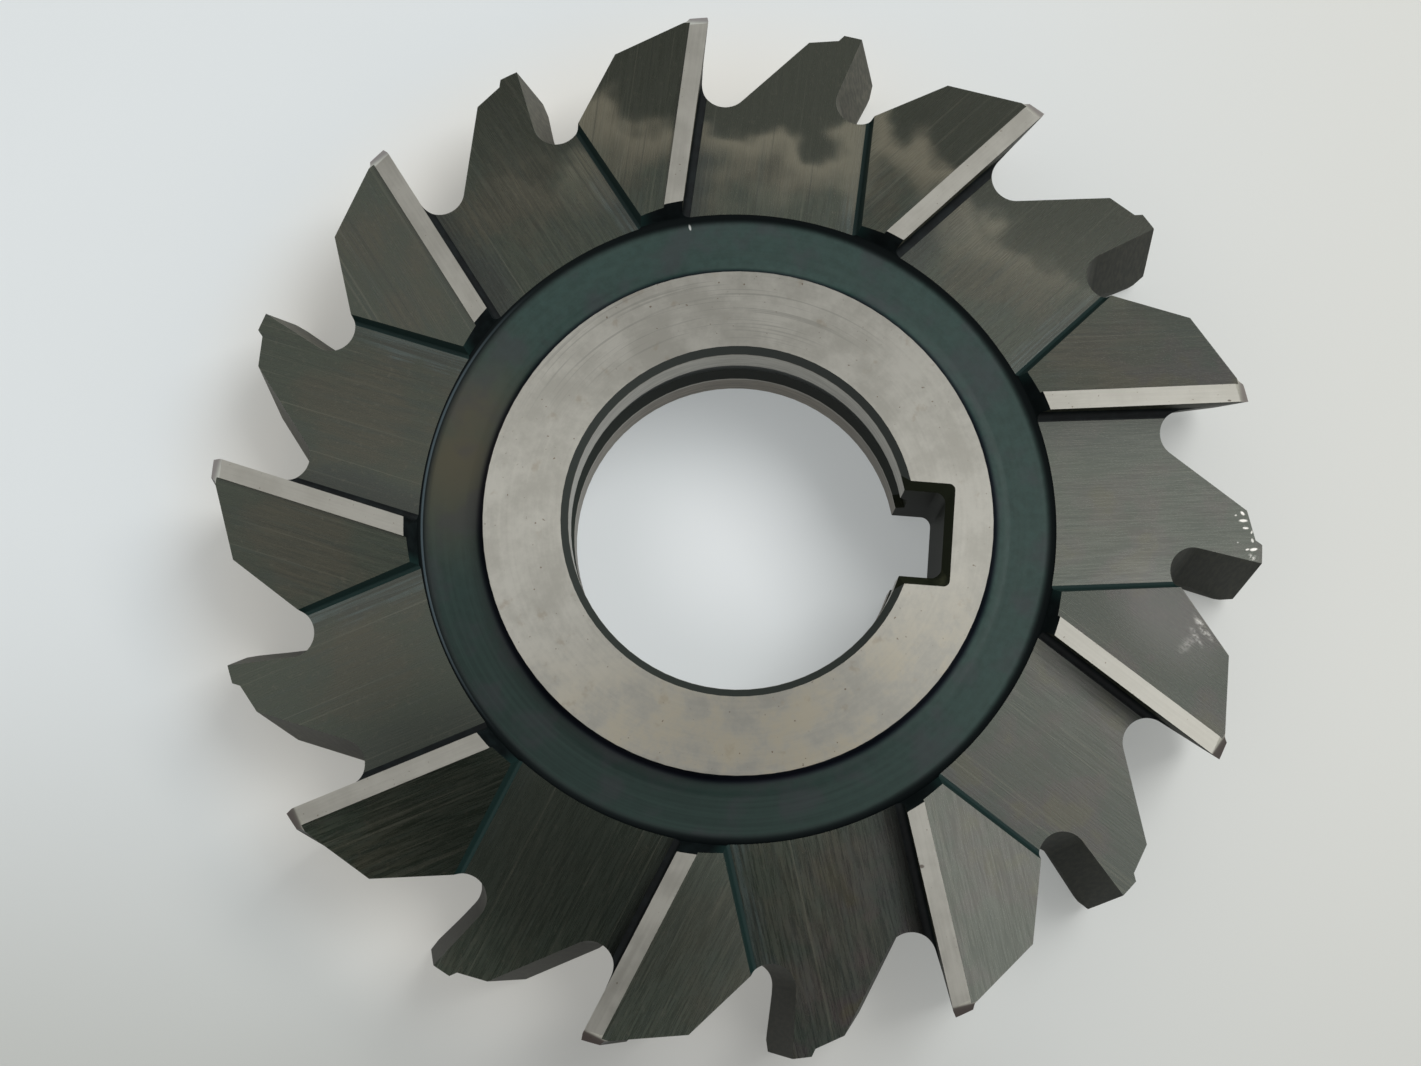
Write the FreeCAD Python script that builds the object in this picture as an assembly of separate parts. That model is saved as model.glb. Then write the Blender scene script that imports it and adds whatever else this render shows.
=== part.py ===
import FreeCAD, Part
import math, os

# Staggered-tooth side milling cutter, ground from one disc of tool steel.
# Z is the axis of the bore, Z = 0 the middle of the width, X points along the keyway.
# Seen from +Z the teeth cut clockwise.

# Driving dimensions, millimetres and degrees
outer_dia = 100.0        # over the tips of the teeth
width = 16.0             # over the two hub faces
tip_chamfer = 1.0        # bevel on the corners of the upper-hand teeth
low_chamfer = 1.6        # and of the lower-hand teeth, which are more worn
bore_dia = 32.0
bore_chamfer = 0.7
groove_length = 5.8      # relief groove round the middle of the bore
groove_depth = 0.8
key_width = 8.2
key_back = 19.4          # from the axis to the back wall of the keyway
key_corner = 1.0
key_bevel = 0.8
hub_dia = 48.0
hub_hollow = 2.0         # hollow where the hub meets the floor of the recess
recess_dia = 60.1        # outer edge of the floor of the ring-shaped recess
recess_depth = 2.4
recess_lean = 1.4        # run of the sloping outer wall of the recess
recess_hollow = 1.2      # hollow where that wall meets the floor
tooth_pairs = 9          # each pair is one upper-hand and one lower-hand tooth
tooth_phase = 19.1       # degrees from the keyway to the first upper-hand tooth, at mid width
helix = 9.8              # slant of the edges, alternating from tooth to tooth
rake = 7.5               # lean of the cutting faces towards the cut
root_radius = 2.3
back_slope = 37.8        # slope of the back of each tooth
heel_angle = 11.8        # from a tip forward to the heel of the tooth ahead
heel_drop = 1.9          # how far the heel lies inside the outer circle
edge_land = 1.75         # narrow land behind the edge on the outer circle
land_step = 0.42         # small step behind that land
relief_twist = 0.37      # the relief gets this much deeper towards the far face
side_rake = 10.7         # lean of the side edge
side_land = 1.75         # width of the bright side land
side_step = 0.35         # small step behind the side land
side_relief = 6.8        # slope of the facet behind the side land
gash_depth = 2.45        # depth of the broad side gash, half way along a tooth
gash_width = 16.92       # from the side edge to the foot of the sloping wall
gash_tilt = 3.1          # the gash gets deeper towards the outside
gash_fillet = 0.8
gash_lean = 18.0         # the wall behind the gash leans back by this much
wall_fillet = 0.45
gash_start = 27.5        # distance from the axis where the gash runs out

outer_r = outer_dia/2
bore_r = bore_dia/2
hub_r = hub_dia/2
recess_r = recess_dia/2
half = width/2
over = 3.0               # how far the cutting shapes stand out past the body
pitch = 180.0/tooth_pairs
lean = math.tan(math.radians(helix))
V = FreeCAD.Vector
Z = V(0, 0, 1)
O = V(0, 0, 0)


def outline(points):
    """closed wire of straight edges; three points in a tuple give an arc through them"""
    edges, at = [], points[0]
    for p in points[1:] + [points[0]]:
        if isinstance(p, tuple):
            edges.append(Part.Arc(at, p[0], p[1]).toShape())
            at = p[1]
        elif p.distanceToPoint(at) > 1e-6:
            edges.append(Part.makeLine(at, p))
            at = p
    return Part.Wire(edges)


def corner(a, b, c, r):
    """the rounding of radius r at the corner b of the path a, b, c: its start and its arc"""
    u, w = (a - b).normalize(), (c - b).normalize()
    turn = math.acos(max(-1, min(1, u.dot(w))))/2
    t = r/math.tan(turn)
    m = (u + w).normalize()
    centre = b + m*(r/math.sin(turn))
    return [b + u*t, (centre - m*r, b + w*t)]


# The turned blank
r_low, z_low = bore_r + bore_chamfer, half - bore_chamfer
g0, g1 = groove_length/2, groove_length/2 - groove_depth
floor = half - recess_depth


def hollow(a, b, c, r, steps):
    """the hollow of radius r at the corner b of the path a, b, c, in short straight steps"""
    start, (crown, end) = corner(a, b, c, r)
    centre = b + (crown - b).normalize()*((crown - b).Length + r)
    u, w = start - centre, end - centre
    turn = u.getAngle(w)
    shares = [(math.sin(turn*(1 - i/steps)), math.sin(turn*i/steps)) for i in range(steps + 1)]
    return [centre + (u*p + w*q)/math.sin(turn) for p, q in shares]


def side_profile(side, bevel):
    """the blank's outline from the bore to the rim, side 1 for the upper face and -1 for the lower"""
    top, ring = side*half, side*floor
    hub_top, foot, wall = V(hub_r, 0, top), V(hub_r, 0, ring), V(recess_r, 0, ring)
    wall_end = V(recess_r + recess_lean, 0, top)
    return ([V(r_low, 0, top), hub_top] + hollow(hub_top, foot, wall, hub_hollow, 4)
            + hollow(foot, wall, wall_end, recess_hollow, 2)
            + [wall_end, V(outer_r - bevel, 0, top), V(outer_r, 0, top - side*bevel)])


inner = [
    V(bore_r, 0, -z_low), V(bore_r, 0, -g0), V(bore_r + groove_depth, 0, -g1),
    V(bore_r + groove_depth, 0, g1), V(bore_r, 0, g0), V(bore_r, 0, z_low),
]
blank_outline = side_profile(1, tip_chamfer) + side_profile(-1, low_chamfer)[::-1] + inner
blank = Part.Face(outline(blank_outline)).revolve(O, Z, 360)

# The keyway with bevelled edges on both faces
def key_wire(grow, radius, z):
    y, x0, x1 = key_width/2 + grow, bore_r*0.6, key_back + grow
    a, b, c, d = V(x0, -y, z), V(x1, -y, z), V(x1, y, z), V(x0, y, z)
    return outline([a] + corner(a, b, c, radius) + corner(b, c, d, radius) + [d])


key_low = Part.Face(key_wire(0, key_corner, -half - 1)).extrude(V(0, 0, width + 2))
keys = [key_low]
for s in (1, -1):
    pair = [key_wire(0, key_corner, s*(half - key_bevel)),
            key_wire(2*key_bevel, key_corner*0.2, s*(half + key_bevel))]
    keys.append(Part.makeLoft(pair, True, True))

# One gullet, for a tooth whose tip points to +Y and cuts towards +X. Its walls run along the slant
# of the edge, and its outline is drawn in the plane square to that slant.
slant = V(math.sin(math.radians(helix)), 0, math.cos(math.radians(helix)))
across = V(slant.z, 0, -slant.x)


def square(x, y):
    """the point of the sloping plane that belongs to x, y in the middle of the width"""
    return across*(x*slant.z) + V(0, y, 0)


rake_x, rake_y = math.sin(math.radians(rake)), math.cos(math.radians(rake))
back_x, back_y = math.cos(math.radians(back_slope)), math.sin(math.radians(back_slope))
heel_r = outer_r - heel_drop
heel_x, heel_y = (heel_r*math.sin(math.radians(heel_angle)), heel_r*math.cos(math.radians(heel_angle)))
# how far down the cutting face it would meet the back of the tooth ahead in a sharp corner
down = (heel_x*back_y - (heel_y - outer_r)*back_x)/(rake_x*back_y - rake_y*back_x)
top_x, top_y = rake_x*over, outer_r + rake_y*over
far_x, far_y = heel_x + back_x*over*1.6, heel_y + back_y*over*1.6
root = square(rake_x*down, outer_r + rake_y*down)
gullet_wire = outline(
    [square(top_x, top_y)]
    + corner(square(0, outer_r), root, square(heel_x, heel_y), root_radius)
    + [square(far_x, far_y), square(far_x, top_y + 1), square(top_x, top_y + 1)])
gullet_wire.translate(slant*-(half + 5))
gullet = Part.Face(gullet_wire).extrude(slant*(width + 10))

# The relief of one tooth behind its narrow outer land
land_end = V(-edge_land, math.sqrt(outer_r**2 - edge_land**2), 0)
step_end = land_end + V(-land_step, -land_step, 0)
next_r, next_turn = outer_r - heel_drop - 0.05, math.radians(pitch*0.52)
fall = V(-next_r*math.sin(next_turn), next_r*math.cos(next_turn), 0) - step_end
run_out = step_end + fall*1.25


def relief_outline(side, deeper):
    """outline of the relief at one face of the blank, side 1 for the upper and -1 for the lower"""
    shift = V(lean*(half + 1), 0, half + 1)*side
    low = V(0, -deeper, 0)
    points = [land_end, step_end + low, run_out + low,
              V(run_out.x, outer_r + over, 0), V(land_end.x, outer_r + over, 0)]
    return outline([p + shift for p in points])


relief = Part.makeLoft([relief_outline(-1, relief_twist), relief_outline(1, 0)], True, True)

# The broad side gash in front of an upper-hand tooth and the facet behind its bright land
# are laid out with the corner of the tooth at the face pointing to +Y.
ss, cs = math.sin(math.radians(side_rake)), math.cos(math.radians(side_rake))
side_in = V(-ss, -cs, 0)                 # inwards along the side edge
side_across = V(cs, -ss, 0)              # forwards, square to the side edge
corner_top = V(0, outer_r, half)
rise = math.tan(math.radians(gash_tilt))


def bar(section, s_from, s_to, tilt):
    """prism along the side edge; section holds (forwards, up) pairs, s runs inwards from the corner
    and the prism is level with the face half way to the recess"""
    mid = (outer_r - recess_r)/2
    run = (side_in + V(0, 0, tilt)).normalize()
    up = (V(0, 0, 1) - side_in*tilt).normalize()

    def at(p):
        return corner_top + side_in*mid + run*(s_from - mid) + side_across*p[0] + up*p[1]
    wire = outline([(at(p[0]), at(p[1])) if isinstance(p[0], tuple) else at(p) for p in section])
    return Part.Face(wire).extrude(run*(s_to - s_from))


def rounded(a, b, c, r):
    """a rounded corner in section pairs"""
    p = corner(V(a[0], a[1], 0), V(b[0], b[1], 0), V(c[0], c[1], 0), r)
    return [(p[0].x, p[0].y), ((p[1][0].x, p[1][0].y), (p[1][1].x, p[1][1].y))]


d = gash_depth
lift = 2.0
wall_top, wall_foot = (0, lift), (0, -d)
wall_run = (d + lift)*math.tan(math.radians(gash_lean))
slope_foot, slope_top = (gash_width, -d), (gash_width + wall_run, lift)
gash_section = ([wall_top] + rounded(wall_top, wall_foot, slope_foot, gash_fillet)
                + rounded(wall_foot, slope_foot, slope_top, wall_fillet) + [slope_top])
s_end = outer_r*cs - gash_start
gash = bar(gash_section, -6.0, s_end, rise)

reach = side_land + 10.0
drop = math.tan(math.radians(side_relief))
facet_section = [(-side_land, lift), (-side_land, -side_step),
                 (-reach, -side_step - drop*(reach - side_land)), (-reach, lift)]
facet = bar(facet_section, -3.0, s_end, 0)

top_turn = tooth_phase - math.degrees(lean*half/outer_r) - 90
mid_turn = tooth_phase - 90

# The lower-hand teeth are the upper-hand ones mirrored in the middle plane and turned by one tooth.
cutters = list(keys)
for shape, turn in ((gullet, mid_turn), (relief, mid_turn), (gash, top_turn), (facet, top_turn)):
    shape.rotate(O, Z, turn)
    other = shape.mirror(O, Z)
    other.rotate(O, Z, -pitch)
    for i in range(tooth_pairs):
        for piece in (shape, other):
            copy = piece.copy()
            copy.rotate(O, Z, i*2*pitch)
            cutters.append(copy)

cutter = blank.cut(cutters)
solids = cutter.Solids
cutter = max(solids, key=lambda s: s.Volume)
print("solids", len(solids), "faces", len(cutter.Faces), "valid", cutter.isValid(),
      "volume", round(cutter.Volume), "left over", round(sum(s.Volume for s in solids) - cutter.Volume, 3))

os.makedirs("parts", exist_ok=True)
cutter.exportStep("parts/milling_cutter.step")
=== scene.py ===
import math

import bmesh
import bpy
import numpy as np
from mathutils import Matrix, Vector


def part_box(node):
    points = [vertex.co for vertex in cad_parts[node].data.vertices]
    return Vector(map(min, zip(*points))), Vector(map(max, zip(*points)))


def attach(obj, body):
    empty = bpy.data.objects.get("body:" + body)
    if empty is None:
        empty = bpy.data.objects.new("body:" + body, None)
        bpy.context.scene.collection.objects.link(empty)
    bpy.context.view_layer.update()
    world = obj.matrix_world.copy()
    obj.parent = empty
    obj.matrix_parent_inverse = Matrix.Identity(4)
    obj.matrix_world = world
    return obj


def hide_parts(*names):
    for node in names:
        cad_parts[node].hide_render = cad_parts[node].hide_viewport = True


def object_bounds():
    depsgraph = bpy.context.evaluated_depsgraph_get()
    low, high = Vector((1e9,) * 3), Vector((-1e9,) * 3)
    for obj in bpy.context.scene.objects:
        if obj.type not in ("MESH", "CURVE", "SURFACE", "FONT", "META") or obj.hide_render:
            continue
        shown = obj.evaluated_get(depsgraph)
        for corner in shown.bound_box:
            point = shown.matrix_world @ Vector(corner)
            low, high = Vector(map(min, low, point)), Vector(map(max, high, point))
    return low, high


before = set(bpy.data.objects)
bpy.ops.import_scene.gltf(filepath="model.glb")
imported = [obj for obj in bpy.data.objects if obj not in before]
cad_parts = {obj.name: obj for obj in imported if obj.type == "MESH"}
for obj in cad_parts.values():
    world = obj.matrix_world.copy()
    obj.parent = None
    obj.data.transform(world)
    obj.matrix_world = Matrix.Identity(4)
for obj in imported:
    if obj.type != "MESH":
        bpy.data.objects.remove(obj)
cad_low, cad_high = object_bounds()

# Staggered-tooth side milling cutter on pale paper. Lengths here are millimetres until a mesh,
# a lamp or the camera is made, which is in metres.
MM = 0.001

# Sizes that the finishes need, as the solid has them
cad_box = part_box("milling_cutter")
HALF = cad_box[1].z/MM                      # half the width; the faces lie at plus and minus this
OUTER_R = 50.0
HUB_R = 24.0
BORE_R = 16.0
BORE_LAND = HALF - 0.7                      # the bore wall ends here, in its bevels
GROOVE_HALF = 2.9                           # half the length of the groove in the bore
RECESS_DEPTH = 2.4
RECESS_R = 30.05                            # foot of the outer wall of the recess
RING_TOP_R = 31.45                          # and its top
KEY_WIDTH = 8.2
KEY_BACK = 19.4                             # from the axis to the back wall of the keyway
PAIRS = 9                                   # pairs of an upper-hand and a lower-hand tooth
CORNER_TURN = 17.55                         # direction of the first upper-hand corner, degrees
SIDE_RAKE = 10.7                            # lean of the side edges, degrees
GASH_WIDTH = 16.9
GASH_TILT = 3.1                             # fall of a gash floor towards the rim, degrees
FACET_SLOPE = 6.8                           # fall of a facet away from its edge, degrees

# How flat faces are made whole and told apart: lengths in millimetres, turns in degrees
MERGE = 0.002                               # corners this near to each other are one
FLAT_TURN = 0.3                             # faces that turn less than this are one
LEVEL = 0.9995                              # upward part of the normal of a level face
STEEP = 0.98                                # and the most that a wall has
CLOSE = 0.02
WALL_DEPTH = 3.6                            # the walls of the gashes end above this
PLANE_TURN = 0.4                            # a floor or facet lies this near to its plane
CREASE_TURN = 26.0
FLAT_CREASE_TURN = 1.0
HOLLOW_TURN = 40.0

# The room's light: its level all round, then brighter and dim cones, each with its direction to the
# right and up in degrees from the vertical, inner and outer half angle, and the light or share of
# light that it adds or takes
ROOM_LEVEL = 0.50
ROOM_BRIGHT = ((60, 25, 0, 85, 0.23), (18, 1, 2, 17, 1.35), (-11, 7, 2, 14, 0.2))
ROOM_DIM = ((6, 22, 4, 17, 0.25), (-14, 27, 4, 16, 0.6), (2, -15, 11, 23, 1.0))
ROOM_TURN = 4.4                             # from the axes here to those of the photograph, degrees

# The lamp, in metres and watts, and the paper, in metres
LAMP_PLACE = (0.60, 0.47, 1.15)
LAMP_SIZE = 0.7
LAMP_POWER = 12.0
PAPER_HALF = 1.5
PAPER_GAP = 0.00001
PAPER_GLOW = 0.4

# The camera: its place, and the directions of the right and upper side of the picture
CAMERA_PLACE = (-0.64, -34.19, 214.64)
CAMERA_RIGHT = (0.99705, 0.07672, 0.00321)
CAMERA_UP = (-0.07628, 0.98475, 0.15633)
CAMERA_LENS = 56.47
CAMERA_SENSOR = 36.0

# Oval marks: centre, half length and half width, direction in degrees, and the share of the radius
# over which the mark fades
# the first mark is painted shade over the teeth at the lower left
LOW_LEFT_SHADE = ((-16.0, -32.0), (31.0, 17.0), -28.0, 0.8)
RIGHT_CLOUD = ((41.0, -5.5), (9.0, 6.0), -40.0, 0.8)
LONG_SCRATCH = ((-33.8, -10.1), (4.9, 0.09), 23.7, 0.6)
RECESS_CLOUD = ((-27.0, 6.0), (11.0, 15.0), 0.0, 0.9)
# the next mark places a painted pale highlight on the outer edge of the recess
RECESS_RIM_HIGHLIGHT = ((-30.0, 0.0), (22.0, 26.0), 0.0, 0.7)
RECESS_SPECK = ((-6.8, 28.6), (0.14, 0.36), 20.0, 0.5)
LAND_PITS = (
    ((19.2, -30.9), (0.30, 0.22), 0.0, 0.5),
    ((18.7, -31.6), (0.12, 0.16), 0.0, 0.5),
    ((45.6, 14.95), (0.22, 0.12), 0.0, 0.5),
)
PAPER_SHADE = ((-8.0, -60.0), (52.0, 24.0), 8.0, 1.0)

# Bright marks where the oxide is knocked off: the oval, its strength, and whether it is broken up
SCUFFS = (
    ((47.95, 4.75), (0.30, 0.17), -40.0, 0.5, 1.0, False),
    ((48.05, 4.05), (0.52, 0.17), 4.0, 0.5, 1.0, False),
    ((48.3, 3.35), (0.36, 0.14), 0.0, 0.5, 0.9, False),
    ((49.0, 2.2), (0.16, 0.26), 20.0, 0.6, 0.8, False),
    ((49.15, 1.35), (0.46, 0.18), 14.0, 0.5, 1.0, False),
    ((48.55, 1.3), (0.26, 0.12), 20.0, 0.6, 0.9, False),
    ((49.1, 0.6), (0.7, 0.5), 0.0, 0.9, 0.7, True),
    ((44.1, -6.6), (1.7, 0.45), -58.0, 0.95, 0.75, True),
    ((43.6, -7.6), (1.6, 0.35), -58.0, 0.95, 0.5, True),
    ((42.8, -8.4), (1.5, 0.7), 50.0, 0.95, 0.3, True),
    ((44.9, -7.5), (0.8, 0.3), -58.0, 0.95, 0.5, True),
    ((48.7, 4.6), (0.12, 0.3), 10.0, 0.5, 0.8, False),
    ((47.3, 4.5), (0.14, 0.10), 0.0, 0.5, 0.7, False),
    ((48.9, 3.0), (0.10, 0.22), -15.0, 0.5, 0.8, False),
    ((47.6, 1.9), (0.10, 0.10), 0.0, 0.5, 0.5, False),
)

# Finishes, in the order of the material slots
OXIDE, WALL, RING, HUB, LAND, BORE, KEY, RAKE = range(8)


# Node helpers

def new_material(name):
    """an empty node material with one Principled shader; returns material, tree and shader"""
    material = bpy.data.materials.new(name)
    material.use_nodes = True
    tree = material.node_tree
    tree.nodes.clear()
    shader = tree.nodes.new("ShaderNodeBsdfPrincipled")
    output = tree.nodes.new("ShaderNodeOutputMaterial")
    tree.links.new(shader.outputs["BSDF"], output.inputs["Surface"])
    return material, tree, shader


def put(tree, socket, value):
    """sets a socket to a number or colour, or links it to another socket"""
    if isinstance(value, bpy.types.NodeSocket):
        tree.links.new(value, socket)
    else:
        socket.default_value = value


def math_node(tree, operation, a, b=0.0, c=0.0, clamp=False):
    node = tree.nodes.new("ShaderNodeMath")
    node.operation = operation
    node.use_clamp = clamp
    for socket, value in zip(node.inputs, (a, b, c)):
        put(tree, socket, value)
    return node.outputs[0]


def product(tree, a, b):
    return math_node(tree, "MULTIPLY", a, b)


def larger(tree, a, b):
    return math_node(tree, "MAXIMUM", a, b)


def less(tree, a, b):
    return math_node(tree, "SUBTRACT", a, b)


def mixed(tree, a, share, b):
    """a by its share, and b by the rest"""
    return math_node(tree, "ADD", product(tree, a, share), product(tree, b, 1.0 - share))


def distance(tree, a, b):
    """length of a flat vector with the parts a and b"""
    return math_node(tree, "SQRT", math_node(tree, "ADD", math_node(tree, "POWER", a, 2.0),
                                             math_node(tree, "POWER", b, 2.0)))


def vector_node(tree, operation, a, b=None):
    node = tree.nodes.new("ShaderNodeVectorMath")
    node.operation = operation
    put(tree, node.inputs[0], a)
    if b is not None:
        put(tree, node.inputs[1], b)
    return node


def towards(tree, place, x, y):
    """how far a place lies in the direction x, y"""
    return vector_node(tree, "DOT_PRODUCT", place, (x, y, 0.0)).outputs["Value"]


def parts(tree, vector):
    """the x, y and z of a vector"""
    split = tree.nodes.new("ShaderNodeSeparateXYZ")
    put(tree, split.inputs[0], vector)
    return split.outputs[0], split.outputs[1], split.outputs[2]


def joined(tree, x, y, z=0.0):
    """a vector with the parts x, y and z"""
    node = tree.nodes.new("ShaderNodeCombineXYZ")
    for socket, value in zip(node.inputs, (x, y, z)):
        put(tree, socket, value)
    return node.outputs[0]


def coordinates(tree):
    """Object coordinates in millimetres"""
    source = tree.nodes.new("ShaderNodeTexCoord")
    return vector_node(tree, "MULTIPLY", source.outputs["Object"], (1000.0, 1000.0, 1000.0)).outputs[0]


def map_coordinates(tree, name):
    source = tree.nodes.new("ShaderNodeUVMap")
    source.uv_map = name
    return source.outputs["UV"]


def noise(tree, vector, scale, detail=3.0, roughness=0.55):
    node = tree.nodes.new("ShaderNodeTexNoise")
    put(tree, node.inputs["Vector"], vector)
    node.inputs["Scale"].default_value = scale
    node.inputs["Detail"].default_value = detail
    node.inputs["Roughness"].default_value = roughness
    return node.outputs["Fac"]


def grain_noise(tree, along, across, detail, roughness):
    """noise on the grain map, where x runs along the grinding lines and y across them, with its own
    scale each way"""
    vector = vector_node(tree, "MULTIPLY", map_coordinates(tree, "grain"), (along, across, 1.0))
    return noise(tree, vector.outputs[0], 1.0, detail, roughness)


def spread(tree, value, low, high, to_low=0.0, to_high=1.0):
    """maps low to high onto another range, smoothly and clamped"""
    node = tree.nodes.new("ShaderNodeMapRange")
    node.interpolation_type = "SMOOTHSTEP"
    for socket, v in zip(node.inputs, (value, low, high, to_low, to_high)):
        put(tree, socket, v)
    return node.outputs[0]


def blend(tree, factor, a, b):
    """colour a where the factor is 0, colour b where it is 1"""
    node = tree.nodes.new("ShaderNodeMix")
    node.data_type = "RGBA"
    put(tree, node.inputs[0], factor)
    put(tree, node.inputs[6], a)
    put(tree, node.inputs[7], b)
    return node.outputs[2]


def shades(tree, pattern, low, high, a, b):
    """colour a where the pattern is low, colour b where it is high"""
    return blend(tree, spread(tree, pattern, low, high), a, b)


def bump(tree, height, strength, step):
    """step is what a height of 1 stands for, in metres"""
    node = tree.nodes.new("ShaderNodeBump")
    node.inputs["Strength"].default_value = strength
    node.inputs["Distance"].default_value = step
    put(tree, node.inputs["Height"], height)
    return node.outputs["Normal"]


def rgb(red, green, blue):
    """a colour given as the eye sees it, 0 to 255, as the shader wants it"""
    def linear(v):
        v /= 255.0
        return v/12.92 if v <= 0.04045 else ((v + 0.055)/1.055)**2.4
    return (linear(red), linear(green), linear(blue), 1.0)


# Materials

def turned_lines(tree, place, fineness):
    """concentric lines: a vector whose noise changes fast along the radius and only slowly round the
    axis; returns it with the radius"""
    x, y, z = parts(tree, place)
    flat = joined(tree, x, y)
    radius = vector_node(tree, "LENGTH", flat).outputs["Value"]
    around_x, around_y, _ = parts(tree, vector_node(tree, "NORMALIZE", flat).outputs[0])
    vector = joined(tree, product(tree, around_x, 1.2), product(tree, around_y, 1.2),
                    product(tree, math_node(tree, "ADD", radius, z), fineness))
    return vector, radius


def tooth_place(tree):
    """distances inwards along the side edge and forwards from it, in millimetres, as two sockets"""
    return parts(tree, map_coordinates(tree, "tooth"))[:2]


def spot(tree, place, centre, radii, turn, soft):
    """1 inside an oval seen along the axis, 0 outside: the distance from the centre, measured in the
    oval's own turned and scaled axes, fades over the share soft of the radius"""
    shifted = vector_node(tree, "SUBTRACT", place, (centre[0], centre[1], 0.0)).outputs[0]
    c, w = math.cos(math.radians(turn)), math.sin(math.radians(turn))
    along = towards(tree, shifted, c/radii[0], w/radii[0])
    across = towards(tree, shifted, -w/radii[1], c/radii[1])
    return spread(tree, distance(tree, along, across), 1.0 - soft, 1.0, 1.0, 0.0)


def oxide_hues(tree, lines, cloud, inward, forward):
    """olive grinding lines, brownish round the middle of each floor and facet, with cooler bands"""
    olive = shades(tree, lines, 0.36, 0.64, rgb(19, 28, 19), rgb(32, 40, 30))
    warm = shades(tree, lines, 0.36, 0.64, rgb(31, 29, 20), rgb(47, 43, 31))
    cool = shades(tree, lines, 0.36, 0.64, rgb(14, 25, 24), rgb(26, 38, 35))
    # the middles lie 11.5 inwards, and 7 to either side of a line 1.6 in front of the edge
    middle = less(tree, inward, 11.5)
    sideways = less(tree, math_node(tree, "ABSOLUTE", less(tree, forward, 1.6)), 7.0)
    near = spread(tree, distance(tree, middle, sideways), 1.5, 9.0, 1.0, 0.0)
    centred = math_node(tree, "MULTIPLY_ADD", near, 0.22, cloud)
    bands = grain_noise(tree, 0.10, 1.2, 2.0, 0.5)
    base = blend(tree, spread(tree, centred, 0.50, 0.72, 0.0, 0.95), olive, warm)
    return blend(tree, spread(tree, bands, 0.50, 0.66, 0.0, 0.4), base, cool)


def wall_bands_and_shade(tree, base, lines, cloud, forward, gash):
    """a streaked blue-grey band before the sloping wall of a gash, and a blue-black band of painted
    shadow on the floor beside the side land, both with an edge that wanders"""
    wandering = math_node(tree, "ADD", forward, product(tree, less(tree, cloud, 0.5), 9.0))
    behind = product(tree, spread(tree, wandering, GASH_WIDTH - 2.2, GASH_WIDTH - 0.3, 0.0, 0.7), gash)
    # painted shadow on the floor beside the side land
    beside = product(tree, spread(tree, wandering, 1.4, 4.2, 0.9, 0.0), gash)
    streaks = grain_noise(tree, 0.06, 3.0, 3.0, 0.6)
    base = blend(tree, behind, base, shades(tree, streaks, 0.44, 0.62, rgb(12, 19, 21), rgb(52, 66, 68)))
    return blend(tree, beside, base, shades(tree, lines, 0.38, 0.62, rgb(7, 12, 14), rgb(18, 27, 28)))


def top_painted_shade(tree, base, place, inward):
    """a dark patch of painted shade on the outer ends of the topmost teeth, with a ragged, paler border;
    returns the colour and how strong the painted shade is"""
    topmost = spread(tree, towards(tree, place, 0.12, 0.99), 24.0, 38.0)
    uneven = less(tree, noise(tree, place, 0.18, 2.0, 0.45), 0.5)
    ragged = math_node(tree, "MULTIPLY_ADD", uneven, 15.0, inward)
    border = product(tree, spread(tree, ragged, 9.0, 12.0), spread(tree, ragged, 12.0, 18.0, 0.8, 0.0))
    # painted shade over the outer ends of the topmost teeth, with a ragged inner edge
    stain_and_shade = product(tree, spread(tree, ragged, 8.4, 12.0, 1.0, 0.0), topmost)
    base = blend(tree, product(tree, border, topmost), base, rgb(97, 92, 77))
    return blend(tree, stain_and_shade, base, rgb(27, 31, 20)), stain_and_shade


def right_tint(tree, base, place):
    """grey, violet and brown patches on the teeth at the right"""
    side = spread(tree, towards(tree, place, 0.9, -0.4), 14.0, 36.0, 0.0, 0.7)
    patch = noise(tree, place, 0.22, 3.0, 0.5)
    tinted = shades(tree, patch, 0.44, 0.56, rgb(31, 38, 37), rgb(46, 37, 44))
    tinted = shades(tree, patch, 0.56, 0.66, tinted, rgb(54, 47, 36))
    return blend(tree, side, base, tinted)


def scuffs(tree, place):
    """where the oxide is knocked off: dashes along a chipped edge and a scraped patch, on the upper
    side of the two teeth beside the keyway"""
    total = None
    rough = spread(tree, noise(tree, place, 3.5, 3.0, 0.7), 0.42, 0.62)
    for centre, radii, turn, soft, strength, broken in SCUFFS:
        mark = product(tree, spot(tree, place, centre, radii, turn, soft), strength)
        if broken:
            mark = product(tree, mark, rough)
        total = mark if total is None else larger(tree, total, mark)
    return product(tree, total, spread(tree, parts(tree, place)[2], 0.0, 1.0))


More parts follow.
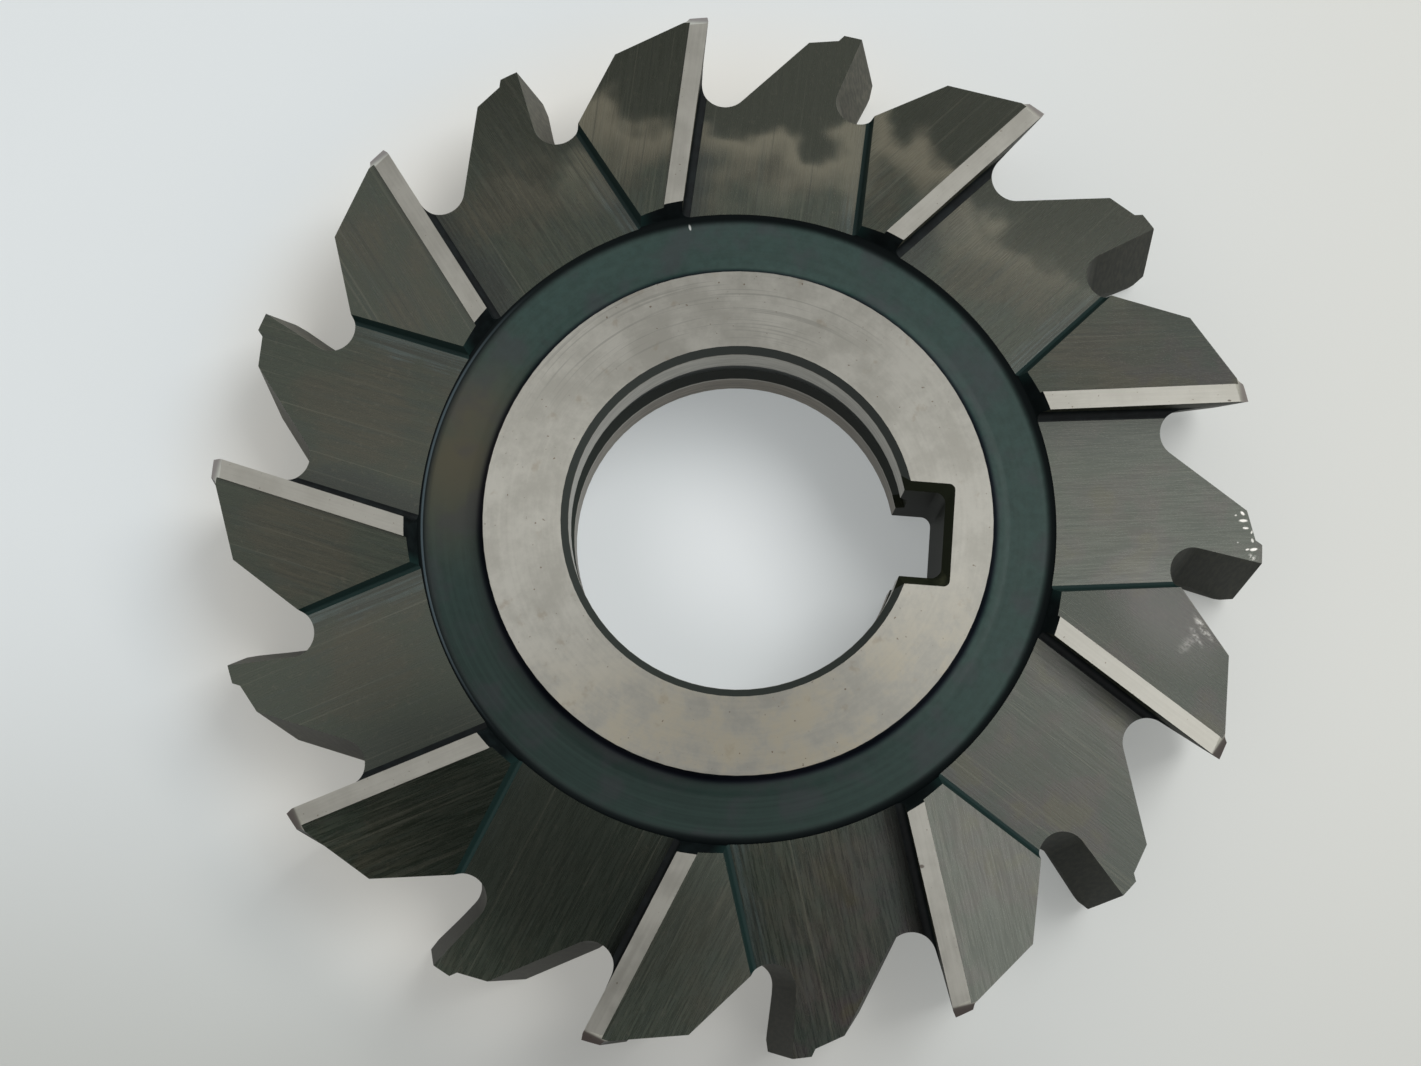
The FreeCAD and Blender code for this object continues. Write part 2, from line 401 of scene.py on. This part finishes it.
def ground_oxide(name):
    """blackened steel of the side gashes and facets: fine straight grinding lines along each tooth
    with grit and scores, stains by place, painted shade beside the edges that face away from the light,
    over the outer ends of the topmost teeth and over the teeth at the lower left, and scuffs where the
    bright steel shows"""
    material, tree, shader = new_material(name)
    place = coordinates(tree)
    inward, forward = tooth_place(tree)
    gash = spread(tree, forward, 0.0, 0.1)      # 1 on a floor, 0 on a facet
    fine = grain_noise(tree, 0.30, 5.6, 3.0, 0.65)
    coarse = grain_noise(tree, 0.16, 2.0, 2.0, 0.5)
    lines = mixed(tree, fine, 0.7, coarse)
    cloud = noise(tree, place, 0.13, 4.0, 0.6)
    base = oxide_hues(tree, lines, cloud, inward, forward)
    base = wall_bands_and_shade(tree, base, lines, cloud, forward, gash)
    base, stain_and_shade = top_painted_shade(tree, base, place, inward)
    # painted shade over the teeth at the lower left: a darker, greener colour here, and below a darker
    # reflection through the metallic
    low_left_shade = product(tree, spot(tree, place, *LOW_LEFT_SHADE), 0.46)
    base = blend(tree, product(tree, low_left_shade, 1.7), base, rgb(9, 27, 13))
    grit = noise(tree, place, 2.2, 3.0, 0.65)
    base = blend(tree, spread(tree, grit, 0.55, 0.78, 0.0, 0.35), base, rgb(78, 73, 62))
    base = blend(tree, product(tree, spot(tree, place, *LONG_SCRATCH), 0.8), base, rgb(10, 12, 12))
    base = right_tint(tree, base, place)
    scores = grain_noise(tree, 0.012, 2.4, 3.0, 0.6)
    base = blend(tree, spread(tree, scores, 0.60, 0.68, 0.0, 0.55), base, rgb(12, 15, 13))
    base = blend(tree, spread(tree, scores, 0.40, 0.33, 0.0, 0.35), base, rgb(80, 79, 68))
    base = blend(tree, product(tree, spot(tree, place, *RIGHT_CLOUD), 0.5), base, rgb(86, 82, 84))

    # painted shade: a darker colour, and through the metallic a darker reflection, beside the side edge on
    # the teeth at the lower right, over the dark patch of the topmost teeth and over the teeth at the lower
    # left
    low_right = spread(tree, towards(tree, place, 0.5, -0.86), 16.0, 32.0, 0.1, 0.8)
    shade = product(tree, product(tree, spread(tree, forward, 0.8, 3.4, 1.0, 0.0), gash), low_right)
    shade = larger(tree, larger(tree, shade, product(tree, stain_and_shade, 0.22)), low_left_shade)
    shine = scuffs(tree, place)
    base = blend(tree, shade, base, rgb(14, 17, 16))
    put(tree, shader.inputs["Base Color"], blend(tree, shine, base, rgb(226, 223, 217)))
    put(tree, shader.inputs["Metallic"], larger(tree, shade, product(tree, shine, 0.6)))
    put(tree, shader.inputs["Roughness"], spread(tree, lines, 0.3, 0.7, 0.22, 0.33))
    shader.inputs["IOR"].default_value = 2.0
    shader.inputs["Specular Tint"].default_value = (0.96, 1.0, 0.87, 1.0)
    put(tree, shader.inputs["Normal"], bump(tree, lines, 0.28, 0.00001))
    return material


def dark_oxide(name, colour, pale, far, ior, roughness, level):
    """walls of the gashes and of the keyway: blackened steel, plain and slightly mottled from colour
    to pale; far is the colour of the walls that lie well away from a side edge"""
    material, tree, shader = new_material(name)
    mottle = noise(tree, coordinates(tree), 0.9, 4.0, 0.6)
    base = shades(tree, mottle, 0.4, 0.7, colour, pale)
    away = math_node(tree, "ABSOLUTE", tooth_place(tree)[1])
    put(tree, shader.inputs["Base Color"], shades(tree, away, 2.5, 4.0, base, far))
    shader.inputs["Roughness"].default_value = roughness
    shader.inputs["IOR"].default_value = ior
    shader.inputs["Specular IOR Level"].default_value = level
    put(tree, shader.inputs["Normal"], bump(tree, mottle, 0.3, 0.00002))
    return material


def gullet_oxide(name):
    """cutting faces and gullets: dark oxide with lines that run with the width of the cutter, and
    painted light that makes them paler towards the upper left"""
    material, tree, shader = new_material(name)
    place = coordinates(tree)
    lines = grain_noise(tree, 0.5, 3.0, 3.0, 0.6)
    mottle = noise(tree, place, 0.5, 4.0, 0.6)
    base = shades(tree, lines, 0.38, 0.64, rgb(31, 34, 26), rgb(50, 51, 41))
    # painted light: the cutting faces are made paler towards the upper left
    painted_light = shades(tree, lines, 0.38, 0.64, rgb(62, 62, 52), rgb(88, 86, 74))
    base = shades(tree, towards(tree, place, -0.6, 0.8), -12.0, 40.0, base, painted_light)
    base = blend(tree, spread(tree, mottle, 0.35, 0.75, 0.0, 0.4), base, rgb(38, 42, 33))
    put(tree, shader.inputs["Base Color"], base)
    shader.inputs["Roughness"].default_value = 0.5
    shader.inputs["IOR"].default_value = 1.2
    put(tree, shader.inputs["Normal"], bump(tree, lines, 0.4, 0.00001))
    return material


def turned_oxide(name):
    """the ring-shaped recess: smooth blue-green oxide with faint turned lines, with painted shade at the
    bottom and along both walls, along the outer wall partly thicker oxide too, a violet haze, a brownish
    cloud, a painted pale highlight on the rim on the side away from the keyway, and one bright speck"""
    material, tree, shader = new_material(name)
    place = coordinates(tree)
    vector, radius = turned_lines(tree, place, 3.0)
    lines = noise(tree, vector, 1.0, 3.0, 0.5)
    cloud = noise(tree, place, 0.09, 3.0, 0.55)
    grit = noise(tree, place, 1.2, 4.0, 0.7)
    haze = noise(tree, place, 0.22, 3.0, 0.6)
    # painted shade towards the bottom
    low = spread(tree, towards(tree, place, -0.35, -0.94), 0.0, 26.0, 0.0, 0.75)
    brown = product(tree, spot(tree, place, *RECESS_CLOUD), spread(tree, cloud, 0.3, 0.62, 0.35, 1.0))
    # painted shade along the hub wall; along the outer wall partly painted shade and partly thicker oxide
    inner_shade = spread(tree, radius, HUB_R + 0.25, HUB_R + 1.0, 1.0, 0.0)
    outer_oxide_and_shade = spread(tree, radius, RECESS_R - 0.9, RECESS_R - 0.1)
    # painted pale highlight along the foot of the outer wall, on the side away from the keyway
    rim = product(tree, spread(tree, radius, RECESS_R - 0.2, RECESS_R - 0.1),
                  spread(tree, radius, RECESS_R - 0.02, RECESS_R + 0.08, 1.0, 0.0))
    rim = product(tree, rim, spot(tree, place, *RECESS_RIM_HIGHLIGHT))

    base = shades(tree, grit, 0.3, 0.7, rgb(25, 48, 43), rgb(36, 60, 55))
    for factor, colour in (
            (low, rgb(14, 34, 29)),
            (spread(tree, lines, 0.35, 0.7, 0.0, 0.35), rgb(42, 62, 56)),
            (brown, rgb(66, 63, 47)),
            (spread(tree, haze, 0.48, 0.66, 0.0, 0.4), rgb(48, 46, 52)),
            (inner_shade, rgb(15, 15, 33)),
            (outer_oxide_and_shade, rgb(9, 18, 19)),
            (rim, rgb(44, 60, 66)),
            (spot(tree, place, *RECESS_SPECK), rgb(180, 184, 180))):
        base = blend(tree, factor, base, colour)
    # the painted shade also darkens the reflection through the metallic, but not under the painted
    # highlight
    dark = larger(tree, product(tree, larger(tree, outer_oxide_and_shade, inner_shade), 0.8), product(tree, low, 0.3))
    put(tree, shader.inputs["Base Color"], base)
    put(tree, shader.inputs["Metallic"], math_node(tree, "SUBTRACT", dark, rim, clamp=True))
    shader.inputs["Roughness"].default_value = 0.4
    shader.inputs["IOR"].default_value = 1.55
    put(tree, shader.inputs["Normal"], bump(tree, lines, 0.08, 0.00001))
    return material


def ground_hub(name):
    """the hub face: bright ground steel with very faint turned lines, smudges, tiny brown specks, a
    yellowish side at the bottom and rubbed lines at the top"""
    material, tree, shader = new_material(name)
    place = coordinates(tree)
    lines = noise(tree, turned_lines(tree, place, 3.4)[0], 1.0, 3.0, 0.6)
    smudge = noise(tree, place, 0.22, 5.0, 0.66)
    stain_and_shade = noise(tree, place, 0.55, 3.0, 0.6)
    specks = noise(tree, place, 2.4, 1.0, 0.5)
    tone = mixed(tree, lines, 0.15, smudge)
    side = towards(tree, place, 0.25, -0.97)
    yellowed = product(tree, spread(tree, side, 6.0, 20.0), spread(tree, smudge, 0.4, 0.62))
    rubbed = product(tree, spread(tree, side, -10.0, -19.0), spread(tree, lines, 0.54, 0.66))

    base = shades(tree, tone, 0.36, 0.64, rgb(190, 188, 178), rgb(213, 211, 201))
    for factor, colour in (
            (spread(tree, stain_and_shade, 0.62, 0.76, 0.0, 0.4), rgb(170, 155, 133)),
            (product(tree, yellowed, 0.5), rgb(206, 194, 164)),
            (product(tree, rubbed, 0.5), rgb(158, 157, 149)),
            (spread(tree, specks, 0.74, 0.8, 0.0, 0.7), rgb(120, 98, 74))):
        base = blend(tree, factor, base, colour)
    put(tree, shader.inputs["Base Color"], base)
    shader.inputs["Metallic"].default_value = 1.0
    put(tree, shader.inputs["Roughness"], spread(tree, tone, 0.3, 0.7, 0.40, 0.46))
    shader.inputs["Anisotropic"].default_value = 0.7
    shader.inputs["Anisotropic Rotation"].default_value = 0.25
    tangent = tree.nodes.new("ShaderNodeTangent")
    tangent.direction_type = "RADIAL"
    tangent.axis = "Z"
    put(tree, shader.inputs["Tangent"], tangent.outputs[0])
    put(tree, shader.inputs["Normal"], bump(tree, smudge, 0.3, 0.00002))
    return material


def ground_land(name):
    """the narrow side lands and the edges on the rim: the brightest steel, fine lines along the land,
    a few pits, its outer end tinted, and on the lower teeth darkened there by a painted dark reflection"""
    material, tree, shader = new_material(name)
    place = coordinates(tree)
    inward = tooth_place(tree)[0]
    lines = grain_noise(tree, 0.12, 3.4, 3.0, 0.6)
    smudge = noise(tree, place, 0.3, 4.0, 0.6)
    specks = noise(tree, place, 3.0, 1.0, 0.5)
    tone = mixed(tree, lines, 0.35, smudge)
    base = shades(tree, tone, 0.36, 0.62, rgb(192, 190, 180), rgb(206, 204, 194))
    base = blend(tree, spread(tree, specks, 0.72, 0.78, 0.0, 0.6), base, rgb(120, 104, 84))
    for pit in LAND_PITS:
        base = blend(tree, product(tree, spot(tree, place, *pit), 0.75), base, rgb(88, 74, 66))
    base = blend(tree, spread(tree, inward, 1.25, 0.5, 0.0, 0.65), base, rgb(118, 104, 108))
    # painted dark reflection at the outer end of the lands on the lower teeth
    low = spread(tree, towards(tree, place, 0.3, -0.95), -10.0, 35.0, 0.1, 0.85)
    tip_shade = product(tree, spread(tree, inward, 1.15, 0.85), low)
    put(tree, shader.inputs["Base Color"], blend(tree, tip_shade, base, rgb(70, 61, 59)))
    shader.inputs["Metallic"].default_value = 1.0
    put(tree, shader.inputs["Roughness"], spread(tree, tone, 0.3, 0.7, 0.28, 0.34))
    put(tree, shader.inputs["Normal"], bump(tree, lines, 0.15, 0.00001))
    return material


def ground_bore(name):
    """the bore: ground bands above and below, a dark oxidised groove round the middle, dark bevels"""
    material, tree, shader = new_material(name)
    place = coordinates(tree)
    height = parts(tree, place)[2]
    from_middle = math_node(tree, "ABSOLUTE", height)
    lines = noise(tree, vector_node(tree, "MULTIPLY", place, (0.25, 0.25, 3.0)).outputs[0], 1.0, 4.0, 0.6)
    steel = shades(tree, lines, 0.36, 0.64, rgb(148, 144, 134), rgb(172, 168, 158))
    brown = shades(tree, lines, 0.36, 0.64, rgb(96, 86, 72), rgb(128, 118, 102))
    base = shades(tree, height, -GROOVE_HALF - 0.6, -GROOVE_HALF, brown, steel)
    groove = spread(tree, from_middle, GROOVE_HALF - 0.05, GROOVE_HALF + 0.02, 1.0, 0.0)
    bevel = spread(tree, from_middle, BORE_LAND - 0.02, BORE_LAND + 0.05)
    dark = larger(tree, groove, bevel)
    put(tree, shader.inputs["Base Color"], blend(tree, dark, base, rgb(34, 40, 36)))
    put(tree, shader.inputs["Metallic"], less(tree, 1.0, dark))
    shader.inputs["Roughness"].default_value = 0.4
    put(tree, shader.inputs["Normal"], bump(tree, lines, 0.2, 0.00001))
    return material


def make_materials():
    """one material for each finish, in slot order"""
    return {
        OXIDE: ground_oxide("ground_oxide"),
        WALL: dark_oxide("gash_wall_oxide", colour=rgb(8, 12, 13), pale=rgb(17, 23, 24),
                         far=rgb(22, 40, 38), ior=1.32, roughness=0.4, level=0.4),
        RING: turned_oxide("recess_oxide"),
        HUB: ground_hub("ground_hub"),
        LAND: ground_land("ground_land"),
        BORE: ground_bore("ground_bore"),
        KEY: dark_oxide("keyway_oxide", colour=rgb(19, 22, 15), pale=rgb(42, 44, 32),
                        far=rgb(28, 31, 22), ior=1.2, roughness=0.5, level=0.18),
        RAKE: gullet_oxide("gullet_oxide"),
    }


# The cutter

def tooth_axes(face, k):
    """corner of side edge k on one face of the cutter, and the directions inwards along the edge and
    forwards, square to it; face is 1 for the upper and -1 for the lower"""
    turn = CORNER_TURN + 360.0*k/PAIRS - (180.0/PAIRS if face < 0 else 0.0)
    a, r = math.radians(turn), math.radians(SIDE_RAKE)
    out = np.array([math.cos(a), math.sin(a)])
    ahead = np.array([math.sin(a), -math.cos(a)])
    inward = -out*math.cos(r) - ahead*math.sin(r)
    forward = ahead*math.cos(r) - out*math.sin(r)
    return OUTER_R*out, inward, forward


def side_planes():
    """every gash floor and facet: its kind, face and tooth number, and its normal. A floor falls away
    outwards by the gash tilt, a facet falls away backwards by its slope."""
    tilt, slope = math.tan(math.radians(GASH_TILT)), math.tan(math.radians(FACET_SLOPE))
    planes = []
    for face in (1, -1):
        for k in range(PAIRS):
            _, inward, forward = tooth_axes(face, k)
            for kind, fall in (("floor", -inward*tilt), ("facet", -forward*slope)):
                normal = np.array([fall[0], fall[1], face])
                planes.append((kind, face, k, normal/np.linalg.norm(normal)))
    return planes


def classify(centres, normals, lows, highs):
    """finish and plane number of each face, from its place and direction; lows and highs are the
    smallest and largest distance of its corners from the axis"""
    x, y, z = centres.T
    radius = np.hypot(x, y)
    depth = HALF - np.abs(z)                    # below the nearer face of the cutter
    up = normals[:, 2]*np.sign(z)               # and towards it
    outward = (normals[:, :2]*centres[:, :2]).sum(1)/np.maximum(radius, 1e-9)
    level = up > LEVEL
    on_face = level & (np.abs(depth) < CLOSE)
    finish = np.full(len(centres), RAKE)
    plane = np.full(len(centres), -1)

    match = normals @ np.array([normal for _, _, _, normal in side_planes()]).T
    tilted = match.max(1) > math.cos(math.radians(PLANE_TURN))
    tilted &= (depth > CLOSE) & (radius > RECESS_R - 1.0)
    finish[tilted] = OXIDE
    plane[tilted] = match.argmax(1)[tilted]

    steep = np.abs(normals[:, 2]) < STEEP
    gash = (depth < WALL_DEPTH) & (lows > RECESS_R - 0.5) & ~tilted
    finish[gash & steep & (up*np.abs(z) > 0.02)] = WALL
    finish[gash & ~steep & ~level & (up > 0)] = WALL
    finish[on_face & (radius < HUB_R + 0.1)] = HUB
    finish[on_face & (radius > RING_TOP_R - 1.0)] = LAND
    finish[level & (np.abs(depth - RECESS_DEPTH) < 0.03) & (highs < RECESS_R + 0.1)] = RING
    hollow = (lows > HUB_R - 0.1) & (highs < RING_TOP_R + 0.3) & ~level & ~tilted
    finish[hollow] = RING
    finish[hollow & (lows > RECESS_R - 0.5) & (up < 0.6)] = WALL
    finish[(highs < BORE_R + 1.0) & (lows > BORE_R - 0.1)] = BORE
    keyway = (np.abs(y) < KEY_WIDTH/2 + 1.0) & (x > BORE_R - 3.0) & (x < KEY_BACK + 1.0)
    keyway &= (highs > BORE_R + 0.3) & (lows < KEY_BACK + 1.5) & (radius > BORE_R - 0.4)
    finish[keyway & ~level] = KEY
    rim = (lows > OUTER_R - 1.7) & (outward > 0.5)
    finish[rim & (np.abs(highs - OUTER_R) < CLOSE) & (np.abs(lows - OUTER_R) < 3*CLOSE)] = LAND
    finish[rim & (up > 0.5)] = LAND
    return finish, plane


def values(items, field, kind=np.float64, width=1):
    """one field of all vertices, loops or faces of a mesh, as an array with a row for each"""
    flat = np.empty(len(items)*width, kind)
    items.foreach_get(field, flat)
    return flat.reshape(-1, width) if width > 1 else flat


def tooth_maps(mesh, centres, finish, plane):
    """Two UV maps in millimetres. "tooth" has the distance inwards along the side edge and forwards
    from it. "grain" has x along the grinding lines and y across them, shifted tooth by tooth so that
    no two teeth look alike; on gullets and walls x runs with the width of the cutter."""
    place = values(mesh.vertices, "co", width=3)[values(mesh.loops, "vertex_index", np.int32)]/MM
    totals = values(mesh.polygons, "loop_total", np.int32)

    turn = np.degrees(np.arctan2(centres[:, 1], centres[:, 0]))
    lower = centres[:, 2] < 0
    steps = (turn - CORNER_TURN + np.where(lower, 180.0/PAIRS, 0.0))*PAIRS/360.0
    nearest = np.round(steps).astype(int) % PAIRS
    number = np.where(plane >= 0, plane, 2*(nearest + PAIRS*lower))
    owner = np.repeat(number, totals)
    sideways = np.repeat((plane >= 0) | (finish == LAND), totals)

    tooth = np.zeros((len(place), 2))
    grain = np.stack([place[:, 2], np.hypot(place[:, 0], place[:, 1])], 1)
    for i, (kind, face, k, _) in enumerate(side_planes()):
        here = owner == i
        corner, inward, forward = tooth_axes(face, k)
        flat = place[here, :2] - corner
        tooth[here] = np.stack([flat @ inward, flat @ forward], 1)
        shift = 37.0*k + 400.0*(face < 0) + 190.0*(kind == "facet")
        along = here & sideways
        grain[along] = tooth[along] + np.array([shift, shift*1.7])
    for name, table in (("grain", grain), ("tooth", tooth)):
        layer = mesh.uv_layers.new(name=name)
        layer.data.foreach_set("uv", table.ravel().astype(np.float32))


def mark_creases(mesh, normals, finish, plane):
    """an edge is sharp where it turns far, where two flat ground planes meet, and where the finish
    changes; the hollows of the recess stay smooth"""
    totals = values(mesh.polygons, "loop_total", np.int32)
    face = np.repeat(np.arange(len(totals)), totals)
    order = np.argsort(values(mesh.loops, "edge_index", np.int32), kind="stable")
    first, second = face[order].reshape(-1, 2).T
    turn = np.degrees(np.arccos(np.clip((normals[first]*normals[second]).sum(1), -1, 1)))
    flat = (plane >= 0) | (finish == HUB) | ((finish == LAND) & (np.abs(normals[:, 2]) > LEVEL))
    meeting = flat[first] | flat[second] | (finish[first] != finish[second])
    sharp = (turn > CREASE_TURN) | (meeting & (turn > FLAT_CREASE_TURN)) | (plane[first] != plane[second])
    sharp &= ~((finish[first] == RING) & (finish[second] == RING) & (turn < HOLLOW_TURN))
    layer = mesh.attributes.get("sharp_edge") or mesh.attributes.new("sharp_edge", "BOOLEAN", "EDGE")
    layer.data.foreach_set("value", sharp)


def face_data(mesh):
    """centres, normals, and nearest and farthest corner from the axis, of every face, in millimetres"""
    place = values(mesh.vertices, "co", width=3)[values(mesh.loops, "vertex_index", np.int32)]
    reach = np.hypot(place[:, 0], place[:, 1])/MM
    starts = values(mesh.polygons, "loop_start", np.int32)
    lows, highs = np.minimum.reduceat(reach, starts), np.maximum.reduceat(reach, starts)
    centres, normals = values(mesh.polygons, "center", width=3)/MM, values(mesh.polygons, "normal", width=3)
    return centres, normals, lows, highs


def make_cutter():
    """the solid's own surface, with its flat faces made whole and each face given its finish"""
    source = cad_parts["milling_cutter"].data
    work = bmesh.new()
    work.from_mesh(source)
    bmesh.ops.remove_doubles(work, verts=work.verts, dist=MERGE*MM)
    bmesh.ops.dissolve_limit(work, angle_limit=math.radians(FLAT_TURN), verts=work.verts, edges=work.edges)
    mesh = bpy.data.meshes.new("cutter_skin")
    work.to_mesh(mesh)
    work.free()
    for layer in list(mesh.uv_layers):
        mesh.uv_layers.remove(layer)
    mesh.materials.clear()
    materials = make_materials()
    for finish in sorted(materials):
        mesh.materials.append(materials[finish])
    centres, normals, lows, highs = face_data(mesh)
    finish, plane = classify(centres, normals, lows, highs)
    mesh.polygons.foreach_set("material_index", finish.astype(np.int32))
    mesh.polygons.foreach_set("use_smooth", np.ones(len(mesh.polygons), bool))
    mark_creases(mesh, normals, finish, plane)
    tooth_maps(mesh, centres, finish, plane)
    cutter = bpy.data.objects.new("cutter", mesh)
    bpy.context.collection.objects.link(cutter)
    weighted = cutter.modifiers.new("even_shading", "WEIGHTED_NORMAL")
    weighted.mode = "FACE_AREA"
    weighted.keep_sharp = True
    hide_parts("milling_cutter")
    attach(cutter, "root")


# Floor, light and camera

def paper_colour_and_shade(tree, place):
    """pale paper with painted light and shade: warmer and a little darker at the right and darker at
    the bottom as painted shade, painted paler round the foot of the cutter at the left and inside the
    bore, and darkest in the painted shade below the cutter"""
    across, along, _ = parts(tree, place)
    reach = vector_node(tree, "LENGTH", place).outputs["Value"]
    # painted shade towards the bottom, and painted light round the foot of the cutter at the left
    low = product(tree, spread(tree, along, 0.0, -75.0), spread(tree, across, -40.0, 70.0, 1.0, 0.5))
    foot = product(tree, spread(tree, reach, 26.0, 38.0), spread(tree, reach, 48.0, 62.0, 1.0, 0.0))
    foot = product(tree, foot, spread(tree, across, 0.0, 35.0, 1.0, 0.0))
    paper = blend(tree, noise(tree, place, 0.02, 2.0, 0.5), rgb(216, 221, 222), rgb(221, 226, 227))
    # painted shade at the right and towards the bottom, painted light round the foot of the cutter and
    # inside the bore, and painted shade below the cutter
    for factor, colour in (
            (spread(tree, across, -10.0, 75.0), rgb(213, 214, 209)),
            (low, rgb(180, 182, 177)),
            (foot, rgb(228, 227, 221)),
            (spread(tree, reach, 6.0, 15.0, 1.0, 0.0), rgb(233, 237, 238)),
            (spot(tree, place, *PAPER_SHADE), rgb(174, 175, 172))):
        paper = blend(tree, factor, paper, colour)
    return paper


def make_floor():
    """sheet of pale paper under the cutter; to the camera and in the steel a part of its light is its
    own, so that the cutter's shadow on it stays soft"""
    corners = [(-PAPER_HALF, -PAPER_HALF), (PAPER_HALF, -PAPER_HALF),
               (PAPER_HALF, PAPER_HALF), (-PAPER_HALF, PAPER_HALF)]
    mesh = bpy.data.meshes.new("paper")
    mesh.from_pydata([(x, y, cad_low[2] - PAPER_GAP) for x, y in corners], [], [(0, 1, 2, 3)])
    floor = bpy.data.objects.new("paper", mesh)
    bpy.context.collection.objects.link(floor)
    material, tree, shader = new_material("pale_paper")
    paper = paper_colour_and_shade(tree, coordinates(tree))
    put(tree, shader.inputs["Base Color"], paper)
    shader.inputs["Roughness"].default_value = 0.9
    glow = tree.nodes.new("ShaderNodeEmission")
    put(tree, glow.inputs["Color"], paper)
    rays = tree.nodes.new("ShaderNodeLightPath")
    seen = larger(tree, rays.outputs["Is Camera Ray"],
                  larger(tree, rays.outputs["Is Glossy Ray"], rays.outputs["Is Transmission Ray"]))
    mix = tree.nodes.new("ShaderNodeMixShader")
    put(tree, mix.inputs[0], product(tree, seen, PAPER_GLOW))
    put(tree, mix.inputs[1], shader.outputs["BSDF"])
    put(tree, mix.inputs[2], glow.outputs["Emission"])
    put(tree, tree.nodes["Material Output"].inputs["Surface"], mix.outputs["Shader"])
    mesh.materials.append(material)


def make_lamp(name):
    """a large, soft, square lamp that faces the cutter and isn't mirrored in the steel"""
    data = bpy.data.lights.new(name, "AREA")
    data.shape = "SQUARE"
    data.size = LAMP_SIZE
    data.energy = LAMP_POWER
    lamp = bpy.data.objects.new(name, data)
    lamp.location = LAMP_PLACE
    lamp.rotation_euler = Vector(LAMP_PLACE).to_track_quat("Z", "Y").to_euler()
    lamp.visible_glossy = False
    bpy.context.collection.objects.link(lamp)


def make_room():
    """soft light from all round, brighter from the right and in two small patches, with three dim
    cones above the cutter, the widest round the camera"""
    world = bpy.data.worlds.new("room")
    world.use_nodes = True
    tree = world.node_tree
    way = tree.nodes.new("ShaderNodeTexCoord").outputs["Generated"]

    def cone(right, up, inner, outer):
        """1 in a cone of directions, given in degrees from the vertical in the photograph's axes"""
        turn = Matrix.Rotation(math.radians(ROOM_TURN), 3, "Z")
        middle = turn @ Vector((math.tan(math.radians(right)), math.tan(math.radians(up)), 1.0))
        near = vector_node(tree, "DOT_PRODUCT", way, tuple(middle.normalized())).outputs["Value"]
        return spread(tree, near, math.cos(math.radians(outer)), math.cos(math.radians(inner)))

    level = ROOM_LEVEL
    for *where, added in ROOM_BRIGHT:
        level = math_node(tree, "MULTIPLY_ADD", cone(*where), added, level)
    for *where, taken in ROOM_DIM:
        level = product(tree, level, math_node(tree, "MULTIPLY_ADD", cone(*where), -taken, 1.0))
    put(tree, tree.nodes["Background"].inputs["Strength"], level)
    tree.nodes["Background"].inputs["Color"].default_value = (1.0, 1.0, 1.0, 1.0)
    bpy.context.scene.world = world


def make_camera():
    """where the photograph was taken from: almost straight above, a little nearer to the bottom"""
    data = bpy.data.cameras.new("camera")
    data.lens = CAMERA_LENS
    data.sensor_width = CAMERA_SENSOR
    data.sensor_fit = "HORIZONTAL"
    data.clip_start = 0.01
    camera = bpy.data.objects.new("camera", data)
    right, up = Vector(CAMERA_RIGHT), Vector(CAMERA_UP)
    turn = Matrix((right, up, right.cross(up))).transposed()
    camera.matrix_world = Matrix.Translation(Vector(CAMERA_PLACE)*MM) @ turn.to_4x4()
    bpy.context.collection.objects.link(camera)
    bpy.context.scene.camera = camera


make_cutter()
make_floor()
make_room()
make_lamp("window")
make_camera()
bpy.context.scene.view_settings.view_transform = "Standard"
